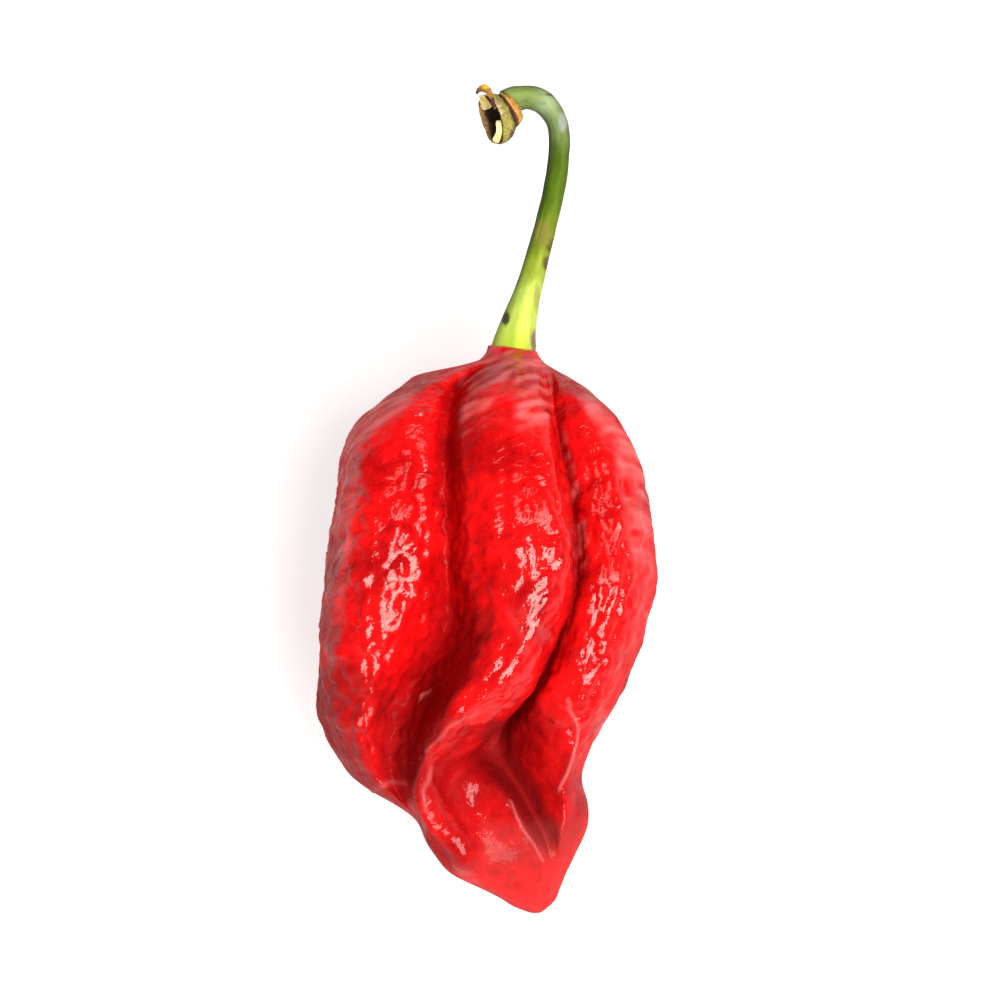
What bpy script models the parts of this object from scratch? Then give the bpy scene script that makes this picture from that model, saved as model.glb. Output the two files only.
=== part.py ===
"""A naga viper pepper as picked, lying on a flat surface: red pod, green stem and the stem's torn end.

The pod is a loft. Rails run down it from the neck to the tip, along the crests of its lobes and the
bottoms of its folds, and each cross-section is a smooth closed curve through them. The stem is a tapering
sweep along a hooked line, and the dried end is a flared, torn cup with splinters in it. X is to the right,
Y runs from the tip to the stem, and Z is up from the surface that the pod lies on. The origin is the
middle of the flat spot that it rests on.
"""

import math

import bmesh
import bpy
import numpy as np
from mathutils import Vector, noise

MM = 0.001

# Driving dimensions, in millimetres. A centre on the pod is x and z.
NECK_Y = 28.9
TIP_Y = -34.1
NECK_CENTRE = (2.5, 17.5)
NECK_RADIUS = 2.7
TIP_CENTRE = (5.1, 10.5)
TIP_RADIUS = 0.5
POD_ROWS = 62
END_CROWDING = 0.12
SHARPNESS_BLEND = 5.0
# The folds soften over the last of the length towards the tip.
TIP_SMOOTH = 7.0
WRINKLE_HEIGHT = 0.32
WRINKLE_SIZE = (3.4, 2.7, 3.4)
WRINKLE_FADE = 0.6
WRINKLE_STEP = 2.0
WRINKLE_LAYERS = 3
DENT_HEIGHT = 0.9
DENT_SIZE = 9.0
SMOOTH_BELOW = 4.0
SMOOTH_TIP = 14.0

# The stem's centre line from the neck to its broken end, with its half width there: (x, y, z), half width.
STEM_LINE = (
    ((2.5, 29.2, 17.5), 2.6), ((2.65, 30.0, 17.55), 2.36), ((2.95, 31.2, 17.6), 2.12),
    ((3.4, 32.8, 17.7), 1.84), ((3.95, 34.6, 17.85), 1.58), ((4.6, 36.8, 18.0), 1.42),
    ((5.35, 39.6, 18.2), 1.3), ((6.1, 42.4, 18.4), 1.22), ((6.85, 45.4, 18.6), 1.2),
    ((7.4, 48.2, 18.8), 1.18), ((7.65, 50.8, 18.9), 1.15), ((7.68, 52.4, 18.95), 1.15),
    ((7.5, 53.6, 19.0), 1.17), ((7.2, 54.5, 19.0), 1.2), ((6.67, 55.4, 19.0), 1.27),
    ((6.0, 56.1, 19.0), 1.33), ((5.15, 56.6, 19.0), 1.36), ((4.1, 56.8, 19.0), 1.34),
    ((3.1, 56.65, 19.0), 1.45), ((2.3, 56.4, 19.0), 1.75),
)
STEM_END_DIRECTION = (-0.6, -0.79, 0.1)
STEM_FLARE_LENGTH = 3.0
STEM_AROUND = 20
STEM_ROWS_PER_PIECE = 2
STEM_RIBS = 5
RIB_HEIGHT = 0.055
RIB_TWIST = 2.6
SHARP_ANGLE = math.radians(40)

# The dried end: a cup that starts 0.3 from the stem's end and flares to a torn mouth. Each row is its centre,
# the direction that it faces, its half width, and how much of the torn rim's reach it takes. The inner rows
# line the hollow.
CUP_OUTER = (
    ((2.12, 56.16, 19.03), (-0.6, -0.79, 0.1), 1.8, 0.0),
    ((1.9, 55.65, 19.13), (-0.62, -0.75, 0.2), 2.3, 0.04),
    ((1.6, 55.3, 19.3), (-0.74, -0.6, 0.3), 2.72, 0.16),
    ((1.15, 55.1, 19.5), (-0.82, -0.45, 0.38), 3.0, 0.36),
    ((0.7, 54.9, 19.72), (-0.85, -0.32, 0.43), 3.18, 0.64),
    ((0.25, 54.75, 19.95), (-0.86, -0.27, 0.44), 3.3, 1.0),
)
CUP_INNER = (
    ((0.42, 54.8, 19.95), (-0.86, -0.27, 0.44), 2.66, 1.0),
    ((0.9, 54.98, 19.75), (-0.85, -0.32, 0.43), 2.25, 0.45),
    ((1.3, 55.15, 19.55), (-0.82, -0.45, 0.38), 1.7, 0.1),
    ((1.62, 55.35, 19.35), (-0.74, -0.6, 0.3), 1.0, 0.0),
)
CUP_AROUND = 32
# How far the torn rim reaches out along the cup and away from its axis, at rising angles round the mouth.
RIM_REACH = (
    (0, 0.0, 0.0), (25, 0.15, 0.1), (50, -0.25, -0.1), (75, 0.3, 0.15), (97, 1.0, 0.5), (115, 0.9, 0.35),
    (135, 0.1, 0.0), (165, -0.1, -0.1), (190, 0.2, 0.0), (220, -0.15, 0.0), (245, 0.2, 0.25),
    (268, 0.35, 0.4), (292, 0.1, 0.3), (318, -0.3, 0.0), (340, 0.1, 0.1), (360, 0.0, 0.0),
)
# Splinters of pith that stand in the cup: both ends, and the half width and half thickness at each.
SPLINTERS = (
    ((1.35, 54.6, 19.3), (0.62, 51.95, 20.75), (0.42, 0.3), (0.36, 0.22)),
    ((1.0, 55.5, 19.3), (-0.95, 56.5, 20.35), (0.75, 0.28), (0.3, 0.18)),
    ((1.3, 55.0, 18.6), (-0.55, 53.6, 19.3), (0.5, 0.28), (0.3, 0.2)),
)

# The pod's rails. Each has its angle on the neck in degrees, how sharply the skin folds there from 0 to 1 (in
# the half towards the neck and in the half towards the tip), the number of steps to the next rail, and its
# points (y, x, z) from the neck to the tip, in millimetres.
RAILS = {
    "left_side": (180, (0.0, 0.0), 3, (
        (27.8, -1.1, 17.0), (27.2, -1.9, 17.0), (26.7, -5.9, 16.8), (25.0, -9.8, 16.0),
        (22.2, -13.3, 16.0), (17.8, -15.9, 16.0), (12.2, -16.9, 15.8), (5.6, -17.7, 15.6),
        (-1.1, -18.8, 15.2), (-7.8, -19.2, 14.6), (-13.3, -18.4, 13.6), (-17.2, -16.6, 13.4),
        (-19.7, -14.8, 13.4), (-21.2, -11.8, 13.7), (-22.6, -9.3, 14.0), (-26.1, -6.8, 14.3),
        (-30.0, -3.4, 12.4), (-32.4, 1.2, 11.4), (-33.5, 3.0, 10.9))),
    "left_shoulder": (162, (0.0, 0.0), 3, (
        (27.8, -0.8, 18.1), (26.4, -5.6, 19.0), (25.0, -8.8, 20.6), (22.2, -11.9, 23.4),
        (17.8, -14.3, 25.3), (12.2, -15.2, 26.0), (5.6, -15.9, 26.3), (-1.1, -16.9, 25.7),
        (-7.8, -17.5, 23.8), (-13.3, -16.8, 20.7), (-17.2, -15.3, 18.0), (-19.7, -14.0, 16.1),
        (-21.2, -11.4, 15.4), (-22.6, -9.2, 15.2), (-26.1, -6.8, 15.3), (-30.0, -3.3, 13.5),
        (-32.4, 1.3, 12.0), (-33.5, 3.1, 11.1))),
    "left_crest": (145, (0.0, 0.0), 3, (
        (27.8, -0.4, 19.0), (26.4, -4.4, 20.3), (25.0, -6.4, 22.9), (22.2, -9.0, 25.9),
        (17.8, -10.2, 27.4), (12.2, -10.6, 28.0), (5.6, -10.9, 28.1), (-1.1, -11.6, 27.6),
        (-7.8, -12.8, 25.7), (-13.3, -13.9, 22.9), (-17.2, -13.8, 20.0), (-19.7, -12.4, 17.9),
        (-21.2, -10.4, 16.4), (-22.6, -8.9, 16.0), (-26.1, -6.5, 16.3), (-30.0, -3.0, 14.6),
        (-32.4, 1.6, 12.6), (-33.5, 3.3, 11.4))),
    "left_inner": (131, (0.0, 0.0), 3, (
        (27.8, 0.1, 19.7), (26.4, -3.0, 20.8), (25.0, -4.8, 22.3), (22.2, -6.2, 25.2),
        (17.8, -6.7, 26.4), (12.2, -6.9, 26.9), (5.6, -6.8, 26.6), (-1.1, -7.1, 25.0),
        (-4.5, -8.4, 23.8), (-7.8, -10.2, 22.4), (-10.8, -11.8, 21.2), (-13.3, -12.6, 21.0),
        (-17.2, -12.4, 19.5), (-19.7, -11.5, 18.0), (-21.2, -10.1, 17.0), (-22.6, -8.6, 16.4),
        (-26.1, -6.3, 16.9), (-30.0, -2.7, 15.0), (-32.4, 1.8, 12.8), (-33.5, 3.5, 11.6))),
    "left_valley": (118, (0.1, 0.3), 3, (
        (27.8, 0.7, 20.2), (26.4, -1.7, 20.2), (25.0, -3.3, 20.2), (22.2, -4.4, 22.9),
        (17.8, -4.8, 24.4), (12.2, -4.8, 24.9), (5.6, -4.5, 24.3), (-1.1, -4.7, 22.2),
        (-5.7, -6.6, 20.2), (-10.8, -9.8, 19.4), (-13.3, -10.8, 18.9), (-16.7, -11.0, 18.0),
        (-20.1, -10.4, 16.8), (-21.2, -9.7, 16.6), (-22.6, -8.5, 17.2), (-26.1, -6.0, 17.5),
        (-30.0, -2.4, 15.3), (-32.4, 2.0, 13.1), (-33.5, 3.8, 11.7))),
    "ridge_back": (105, (0.0, 0.0), 3, (
        (27.8, 1.4, 21.3), (25.0, -1.2, 24.4), (22.2, -2.6, 26.6), (17.8, -2.9, 28.7),
        (12.2, -2.7, 29.4), (5.6, -2.6, 29.1), (2.0, -2.3, 28.2), (-1.1, -2.3, 26.2),
        (-4.5, -3.9, 23.6), (-7.8, -6.0, 22.0), (-10.8, -7.4, 21.2), (-13.3, -8.4, 21.0),
        (-17.2, -9.0, 20.2), (-20.1, -9.0, 19.2), (-22.6, -8.0, 18.6), (-26.1, -5.3, 18.6),
        (-30.0, -1.5, 15.8), (-32.4, 2.4, 13.7), (-33.5, 4.2, 12.0))),
    "mid_crest": (88, (0.0, 0.7), 3, (
        (27.8, 2.3, 22.1), (26.4, 2.0, 24.1), (25.0, 1.8, 25.6), (22.2, 1.5, 28.2), (17.8, 1.6, 30.2),
        (12.2, 1.8, 31.2), (5.6, 1.6, 31.5), (2.0, 1.1, 31.2), (-1.1, 0.4, 30.7), (-4.5, -1.0, 30.6),
        (-7.8, -3.0, 30.1), (-10.8, -4.9, 29.1), (-13.3, -6.2, 27.5), (-17.2, -7.6, 24.0),
        (-20.1, -8.3, 22.6), (-22.6, -7.6, 21.4), (-25.1, -6.0, 20.3), (-27.5, -3.5, 18.0),
        (-30.0, -0.2, 16.0), (-32.4, 2.8, 13.6), (-33.5, 4.6, 12.2))),
    "lip_top": (74, (0.0, 0.0), 2, (
        (27.8, 3.4, 21.9), (26.4, 3.9, 23.8), (25.0, 4.3, 25.2), (22.2, 4.5, 27.3), (17.8, 5.0, 29.4),
        (12.2, 5.8, 30.7), (5.6, 6.5, 31.2), (-1.1, 5.2, 31.2), (-4.5, 3.5, 31.1), (-7.8, 1.1, 30.7),
        (-10.8, -1.9, 29.8), (-13.3, -4.5, 28.0), (-15.4, -5.8, 26.0), (-17.2, -6.7, 23.9),
        (-20.1, -6.6, 22.3), (-22.6, -5.3, 21.0), (-25.1, -3.5, 19.9), (-27.5, -1.4, 18.0),
        (-30.0, 1.4, 16.1), (-32.4, 3.9, 13.7), (-33.5, 5.0, 12.2))),
    "lip_edge": (63, (0.6, 0.5), 3, (
        (27.8, 4.2, 21.2), (26.4, 5.1, 22.8), (25.0, 5.5, 24.2), (22.2, 5.8, 26.3), (17.8, 6.5, 28.5),
        (12.2, 7.6, 29.7), (5.6, 8.6, 30.0), (-1.1, 7.8, 29.1), (-4.5, 6.8, 29.3), (-7.8, 4.5, 28.8),
        (-10.8, 1.0, 27.9), (-13.3, -3.0, 26.5), (-15.4, -5.2, 24.2), (-17.5, -6.2, 22.6),
        (-20.1, -5.6, 20.6), (-22.6, -4.2, 19.2), (-25.1, -2.4, 18.6), (-27.5, 0.6, 17.6),
        (-30.0, 3.0, 15.9), (-32.4, 4.6, 13.6), (-33.5, 5.3, 12.2))),
    "lip_nose": (55, (0.0, 0.0), 4, (
        (27.8, 4.8, 20.4), (26.4, 6.0, 20.6), (25.0, 6.3, 21.4), (22.2, 6.5, 23.9), (17.8, 7.2, 26.0),
        (12.2, 8.4, 27.2), (5.6, 9.2, 27.3), (-1.1, 8.9, 25.8), (-4.5, 8.0, 25.0), (-7.8, 6.2, 23.9),
        (-11.8, 2.7, 22.0), (-14.1, -0.4, 21.4), (-16.2, -3.0, 20.6), (-18.0, -4.6, 19.2),
        (-20.1, -3.2, 17.4), (-22.6, -1.4, 17.0), (-25.1, 0.4, 17.8), (-27.5, 2.8, 17.1),
        (-30.0, 4.6, 15.4), (-32.4, 5.3, 13.3), (-33.5, 5.6, 12.1))),
    "pocket_edge": (49, (0.4, 0.6), 3, (
        (27.8, 5.1, 20.0), (26.4, 6.3, 20.2), (25.0, 6.5, 21.6), (22.2, 6.7, 23.4), (17.8, 7.4, 24.8),
        (12.2, 8.5, 25.3), (5.6, 9.2, 25.2), (-1.1, 8.9, 24.2), (-4.5, 8.0, 22.8), (-7.8, 5.9, 20.4),
        (-11.8, 2.3, 15.0), (-14.1, 0.0, 12.8), (-16.2, -1.8, 13.2), (-18.0, -0.6, 15.6),
        (-20.1, 1.6, 17.6), (-22.6, 2.9, 18.3), (-25.3, 4.5, 18.0), (-28.0, 5.4, 16.1),
        (-30.0, 5.9, 14.7), (-32.4, 5.6, 13.0), (-33.5, 5.6, 12.0))),
    "right_valley": (42, (0.7, 0.5), 3, (
        (27.8, 5.4, 19.6), (26.4, 6.7, 19.7), (25.0, 6.9, 21.3), (22.2, 7.1, 23.2), (17.8, 7.8, 24.3),
        (12.2, 8.9, 24.8), (5.6, 9.6, 24.6), (-1.1, 9.3, 24.0), (-4.5, 8.4, 22.6), (-7.8, 6.5, 20.4),
        (-11.8, 3.0, 14.4), (-14.1, 1.3, 11.4), (-17.2, 1.4, 12.4), (-20.1, 3.4, 13.4),
        (-22.6, 4.7, 14.2), (-26.1, 6.3, 15.2), (-28.0, 6.5, 15.1), (-30.0, 6.7, 14.1),
        (-32.4, 6.1, 12.7), (-33.5, 5.8, 11.8))),
    "right_inner": (35, (0.0, 0.0), 3, (
        (27.8, 5.5, 19.2), (26.4, 6.9, 19.6), (25.0, 7.6, 22.2), (22.2, 8.1, 24.6), (17.8, 9.1, 26.0),
        (12.2, 10.3, 26.5), (5.6, 10.9, 26.4), (-1.1, 10.5, 25.8), (-4.5, 9.6, 25.2), (-7.8, 7.7, 24.0),
        (-11.8, 5.5, 21.0), (-14.1, 5.0, 18.4), (-17.2, 4.4, 15.8), (-20.1, 5.4, 15.6),
        (-22.6, 6.3, 15.6), (-26.1, 7.1, 15.4), (-28.0, 7.2, 14.8), (-30.0, 7.3, 13.4),
        (-32.4, 6.5, 12.4), (-33.5, 6.1, 11.7))),
    "right_crest": (22, (0.0, 0.5), 4, (
        (27.8, 5.7, 18.6), (26.4, 7.2, 19.2), (25.0, 8.8, 22.4), (22.2, 10.2, 25.0), (17.8, 11.6, 26.4),
        (12.2, 12.8, 26.8), (5.6, 13.3, 26.7), (-1.1, 12.7, 26.1), (-7.8, 10.9, 24.6),
        (-12.2, 9.4, 21.8), (-14.4, 9.4, 20.8), (-17.2, 8.7, 19.6), (-20.1, 8.0, 17.8),
        (-22.6, 8.3, 16.8), (-26.1, 7.7, 15.9), (-28.0, 8.0, 14.3), (-30.0, 7.8, 12.7),
        (-32.4, 6.8, 12.0), (-33.5, 6.3, 11.5))),
    "right_shoulder": (9, (0.0, 0.0), 3, (
        (27.8, 5.6, 17.9), (26.4, 7.4, 18.2), (25.0, 9.4, 19.9), (22.2, 12.3, 22.4), (17.8, 14.5, 24.1),
        (12.2, 15.8, 24.5), (5.6, 16.2, 24.5), (-1.1, 15.7, 23.9), (-7.8, 13.6, 22.3),
        (-12.2, 11.7, 20.4), (-14.4, 10.9, 18.4), (-17.2, 9.9, 17.0), (-20.1, 9.5, 15.8),
        (-22.6, 9.7, 15.0), (-26.1, 9.0, 14.4), (-28.0, 8.8, 13.2), (-30.0, 8.2, 11.8),
        (-32.4, 7.1, 11.4), (-33.5, 6.3, 11.1))),
    "right_side": (-4, (0.0, 0.0), 5, (
        (28.2, 5.2, 17.2), (27.2, 6.2, 17.2), (26.4, 7.6, 17.0), (25.0, 9.9, 16.4), (22.2, 13.3, 16.0),
        (17.8, 16.3, 15.6), (12.2, 17.9, 15.2), (5.6, 18.6, 14.8), (-1.1, 18.1, 14.6),
        (-7.8, 15.7, 14.0), (-13.3, 12.4, 13.2), (-17.2, 10.7, 12.6), (-19.1, 10.3, 12.2),
        (-21.0, 11.0, 11.8), (-23.3, 11.1, 11.6), (-26.4, 10.0, 11.6), (-29.0, 8.8, 11.3),
        (-31.2, 7.9, 11.1), (-32.8, 7.2, 10.9), (-33.6, 6.3, 10.7))),
    "right_back": (-42, (0.0, 0.0), 4, (
        (27.8, 5.0, 15.0), (25.0, 8.4, 11.6), (22.2, 11.4, 9.4), (17.8, 13.8, 7.0), (12.2, 15.2, 5.8),
        (5.6, 15.6, 5.2), (-1.1, 14.8, 5.2), (-7.8, 12.6, 5.6), (-13.3, 9.6, 6.4), (-20.0, 8.6, 7.2),
        (-26.1, 8.2, 8.3), (-30.0, 7.2, 8.9), (-32.6, 6.5, 9.7), (-33.6, 5.8, 10.2))),
    "right_back_valley": (-62, (0.7, 0.7), 4, (
        (27.8, 4.2, 14.4), (25.0, 6.6, 11.6), (22.2, 8.4, 9.6), (17.8, 9.2, 7.6), (12.2, 9.4, 6.4),
        (5.6, 9.4, 5.6), (-1.1, 8.8, 5.6), (-7.8, 7.4, 6.2), (-13.3, 6.2, 7.0), (-20.0, 6.2, 8.0),
        (-26.1, 6.4, 8.9), (-30.0, 6.2, 9.1), (-32.6, 5.9, 9.5), (-33.6, 5.5, 10.1))),
    "back_right": (-80, (0.0, 0.0), 4, (
        (27.8, 3.4, 13.8), (25.0, 4.6, 9.6), (22.2, 5.4, 6.6), (17.8, 5.6, 3.2), (12.2, 5.4, 0.9),
        (5.6, 5.2, -0.3), (-1.1, 4.6, -0.4), (-7.8, 3.4, 0.3), (-13.3, 2.8, 2.0), (-20.0, 3.2, 4.4),
        (-26.1, 4.4, 7.1), (-30.0, 5.2, 8.1), (-32.6, 5.4, 9.1), (-33.6, 5.2, 10.0))),
    "back_left": (-108, (0.0, 0.0), 4, (
        (27.8, 2.0, 13.8), (25.0, -0.2, 9.6), (22.2, -1.8, 6.6), (17.8, -3.2, 3.2), (12.2, -4.0, 0.8),
        (5.6, -4.4, -0.4), (-1.1, -4.6, -0.3), (-7.8, -4.8, 0.6), (-13.3, -4.2, 2.6),
        (-20.0, -2.2, 5.4), (-26.1, 0.6, 7.9), (-30.0, 3.0, 8.3), (-32.6, 4.4, 9.1), (-33.6, 4.8, 10.0))),
    "left_back_valley": (-128, (0.7, 0.7), 4, (
        (27.8, 1.0, 14.4), (25.0, -2.6, 11.8), (22.2, -5.4, 9.6), (17.8, -8.2, 7.0), (12.2, -9.4, 5.4),
        (5.6, -10.2, 4.8), (-1.1, -10.8, 4.8), (-7.8, -10.8, 5.6), (-13.3, -9.8, 7.2),
        (-20.0, -6.0, 9.4), (-26.1, -1.6, 10.3), (-30.0, 1.4, 9.5), (-32.6, 3.5, 9.7),
        (-33.6, 4.5, 10.2))),
    "left_back": (-148, (0.0, 0.0), 5, (
        (27.8, 0.2, 15.4), (25.0, -5.4, 12.4), (22.2, -9.6, 10.2), (17.8, -13.2, 7.8),
        (12.2, -14.6, 6.4), (5.6, -15.4, 5.8), (-1.1, -16.2, 5.8), (-7.8, -16.4, 6.6),
        (-13.3, -15.2, 8.2), (-20.0, -10.8, 10.6), (-26.1, -4.8, 11.7), (-30.0, -1.2, 10.7),
        (-32.4, 2.0, 10.4), (-33.5, 3.6, 10.5))),
}


def hermite(values, places, wanted):
    """The smooth curve through values at rising places, read at wanted."""
    places = np.asarray(places, float)
    values = np.asarray(values, float)
    steps = np.diff(places)
    rates = np.diff(values, axis=0) / steps.reshape(-1, *[1] * (values.ndim - 1))
    slopes = np.empty_like(values)
    slopes[0] = rates[0]
    slopes[-1] = rates[-1]
    weight = (steps[1:] / (steps[1:] + steps[:-1])).reshape(-1, *[1] * (values.ndim - 1))
    slopes[1:-1] = weight * rates[:-1] + (1 - weight) * rates[1:]
    index = np.clip(np.searchsorted(places, wanted, side="right") - 1, 0, len(steps) - 1)
    span = steps[index]
    t = (wanted - places[index]) / span
    shape = (-1, *[1] * (values.ndim - 1))
    t, span = t.reshape(shape), span.reshape(shape)
    return (
        (2 * t**3 - 3 * t**2 + 1) * values[index]
        + (t**3 - 2 * t**2 + t) * span * slopes[index]
        + (3 * t**2 - 2 * t**3) * values[index + 1]
        + (t**3 - t**2) * span * slopes[index + 1]
    )


def ring_point(centre, radius, degrees):
    turn = math.radians(degrees)
    return centre[0] + radius * math.cos(turn), centre[1] + radius * math.sin(turn)


def rail_points(name, heights):
    """A rail's x and z at each height y."""
    angle, _, _, inner = RAILS[name]
    neck = (NECK_Y, *ring_point(NECK_CENTRE, NECK_RADIUS, angle))
    tip = (TIP_Y, *ring_point(TIP_CENTRE, TIP_RADIUS, angle))
    points = np.array([neck, *inner, tip])[::-1]
    return hermite(points[:, 1:], points[:, 0], heights)


def section(y, corners):
    """The closed curve through the rail points at height y, with a fold at each sharp rail."""
    upper = min(max(0.5 + y / (2 * SHARPNESS_BLEND), 0.0), 1.0)
    folded = min((y - TIP_Y) / TIP_SMOOTH, 1.0) ** 2
    sharpness = [folded * (upper * rail[1][0] + (1 - upper) * rail[1][1]) for rail in RAILS.values()]
    names = list(RAILS)
    count = len(names)
    before = np.roll(corners, 1, axis=0)
    after = np.roll(corners, -1, axis=0)
    back = np.sqrt(np.linalg.norm(corners - before, axis=1))[:, None]
    ahead = np.sqrt(np.linalg.norm(after - corners, axis=1))[:, None]
    smooth = (
        (corners - before) / back - (after - before) / (back + ahead) + (after - corners) / ahead
    )
    curve = []
    for i in range(count):
        j = (i + 1) % count
        gap = ahead[i]
        chord = (corners[j] - corners[i]) / gap
        sharp_here, sharp_next = sharpness[i], sharpness[j]
        leave = (1 - sharp_here) * smooth[i] + sharp_here * (1.5 * chord - 0.5 * smooth[j])
        arrive = (1 - sharp_next) * smooth[j] + sharp_next * (1.5 * chord - 0.5 * smooth[i])
        for k in range(RAILS[names[i]][2]):
            t = k / RAILS[names[i]][2]
            curve.append(
                (2 * t**3 - 3 * t**2 + 1) * corners[i]
                + (t**3 - 2 * t**2 + t) * gap * leave
                + (3 * t**2 - 2 * t**3) * corners[j]
                + (t**3 - t**2) * gap * arrive
            )
    return np.array(curve)


def row_heights(rows):
    """Heights of the rows of points, closer together towards the neck and the tip."""
    share = np.linspace(0, 1, rows)
    eased = share - END_CROWDING * np.sin(2 * math.pi * share)
    return TIP_Y + (NECK_Y - TIP_Y) * eased


def pod_grid(rows):
    heights = row_heights(rows)
    rails = np.stack([rail_points(name, heights) for name in RAILS], axis=1)
    grid = []
    for y, corners in zip(heights, rails):
        curve = section(y, corners)
        grid.append(np.column_stack([curve[:, 0], np.full(len(curve), y), curve[:, 1]]))
    return np.array(grid)


def shell_from_grid(grid):
    """A closed shell: rows of points joined by quads, with a cap at each end."""
    rows, around, _ = grid.shape
    shape = bmesh.new()
    points = [[shape.verts.new(Vector(p) * MM) for p in row] for row in grid]
    for r in range(rows - 1):
        for c in range(around):
            d = (c + 1) % around
            shape.faces.new((points[r][c], points[r][d], points[r + 1][d], points[r + 1][c]))
    for row in (points[0], points[-1]):
        bmesh.ops.poke(shape, faces=[shape.faces.new(row)])
    bmesh.ops.recalc_face_normals(shape, faces=shape.faces)
    return shape


def new_object(name, shape):
    """A mesh object from a bmesh, which is used up, shaded smooth except at its sharp edges."""
    mesh = bpy.data.meshes.new(name)
    shape.to_mesh(mesh)
    shape.free()
    mesh.shade_smooth()
    mesh.set_sharp_from_angle(angle=SHARP_ANGLE)
    obj = bpy.data.objects.new(name, mesh)
    bpy.context.scene.collection.objects.link(obj)
    return obj


def give_material(obj, colour, roughness):
    material = bpy.data.materials.new(obj.name)
    material.use_nodes = True
    shader = material.node_tree.nodes["Principled BSDF"]
    shader.inputs["Base Color"].default_value = (*colour, 1.0)
    shader.inputs["Roughness"].default_value = roughness
    shader.inputs["Metallic"].default_value = 0.0
    obj.data.materials.append(material)


def raise_wrinkles(shape):
    """Wrinkle the skin along its normals and dent its sides, fading where it rests and at its two ends."""
    shape.normal_update()
    moves = []
    for vert in shape.verts:
        x, y, z = vert.co / MM
        rest = min(max(z / SMOOTH_BELOW, 0.0), 1.0)
        neck = min(max((NECK_Y - y) / SMOOTH_BELOW, 0.0), 1.0)
        tip = min(max((y - TIP_Y) / SMOOTH_TIP, 0.0), 1.0)
        place = Vector((x / WRINKLE_SIZE[0], y / WRINKLE_SIZE[1], z / WRINKLE_SIZE[2]))
        wrinkle = WRINKLE_HEIGHT * noise.fractal(place, WRINKLE_FADE, WRINKLE_STEP, WRINKLE_LAYERS)
        sideways = min(max(1 - 2 * vert.normal.z, 0.0), 1.0)
        dent = DENT_HEIGHT * sideways * noise.noise(Vector((x, y, z)) / DENT_SIZE)
        moves.append(vert.normal * (wrinkle + dent) * rest * neck * tip * MM)
    for vert, move in zip(shape.verts, moves):
        vert.co += move


def cut_rest_spot(shape):
    """Flatten the pod where it lies on the surface, at z = 0."""
    everything = shape.verts[:] + shape.edges[:] + shape.faces[:]
    cut = bmesh.ops.bisect_plane(
        shape, geom=everything, plane_co=(0, 0, 0), plane_no=(0, 0, -1), clear_outer=True
    )
    edges = [part for part in cut["geom_cut"] if isinstance(part, bmesh.types.BMEdge)]
    bmesh.ops.holes_fill(shape, edges=edges)
    bmesh.ops.recalc_face_normals(shape, faces=shape.faces)


def make_pod():
    shape = shell_from_grid(pod_grid(POD_ROWS))
    raise_wrinkles(shape)
    cut_rest_spot(shape)
    pod = new_object("pod", shape)
    give_material(pod, (0.62, 0.006, 0.010), 0.28)
    return pod


def ring_axes(direction):
    """Two directions square to this one: a level one, and one that points upward."""
    ahead = Vector(direction).normalized()
    across = ahead.cross(Vector((0, 0, 1))).normalized()
    return np.array(across), np.array(across.cross(ahead))


def stem_grid():
    """Rings along the stem's line, square to it, with five low ribs that wind slowly round."""
    knots = np.arange(len(STEM_LINE), dtype=float)
    count = (len(STEM_LINE) - 1) * STEM_ROWS_PER_PIECE + 1
    wanted = np.linspace(0, knots[-1], count)
    centres = hermite(np.array([point for point, _ in STEM_LINE]), knots, wanted)
    radii = hermite(np.array([[radius] for _, radius in STEM_LINE]), knots, wanted)[:, 0]
    directions = np.gradient(centres, axis=0)
    directions /= np.linalg.norm(directions, axis=1)[:, None]
    settled = np.clip((centres[:, 1] - centres[0, 1]) / STEM_FLARE_LENGTH, 0, 1)[:, None]
    directions = settled * directions + (1 - settled) * np.array([0.0, 1.0, 0.0])
    directions[-1] = STEM_END_DIRECTION
    angles = np.linspace(0, 2 * math.pi, STEM_AROUND, endpoint=False)
    grid = []
    for centre, radius, direction, share in zip(centres, radii, directions, wanted / knots[-1]):
        across, up = ring_axes(direction)
        ribs = 1 + RIB_HEIGHT * np.cos(STEM_RIBS * angles + RIB_TWIST * share)
        circle = np.outer(np.cos(angles) * ribs, across) + np.outer(np.sin(angles) * ribs, up)
        grid.append(centre + radius * circle)
    return np.array(grid)


def make_stem():
    stem = new_object("stem", shell_from_grid(stem_grid()))
    give_material(stem, (0.19, 0.27, 0.02), 0.45)
    return stem


def cup_grid():
    """The outer rows from the stem to the torn rim, then the inner rows down into the hollow."""
    degrees = np.linspace(0, 360, CUP_AROUND, endpoint=False)
    rim = np.array(RIM_REACH)
    along = np.interp(degrees, rim[:, 0], rim[:, 1])
    away = np.interp(degrees, rim[:, 0], rim[:, 2])
    angles = np.radians(degrees)
    grid = []
    for centre, direction, radius, share in CUP_OUTER + CUP_INNER:
        across, up = ring_axes(direction)
        ahead = np.array(Vector(direction).normalized())
        reach = (radius + away * share)[:, None]
        circle = np.cos(angles)[:, None] * across + np.sin(angles)[:, None] * up
        grid.append(np.array(centre) + reach * circle + (along * share)[:, None] * ahead)
    return np.array(grid)


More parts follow.
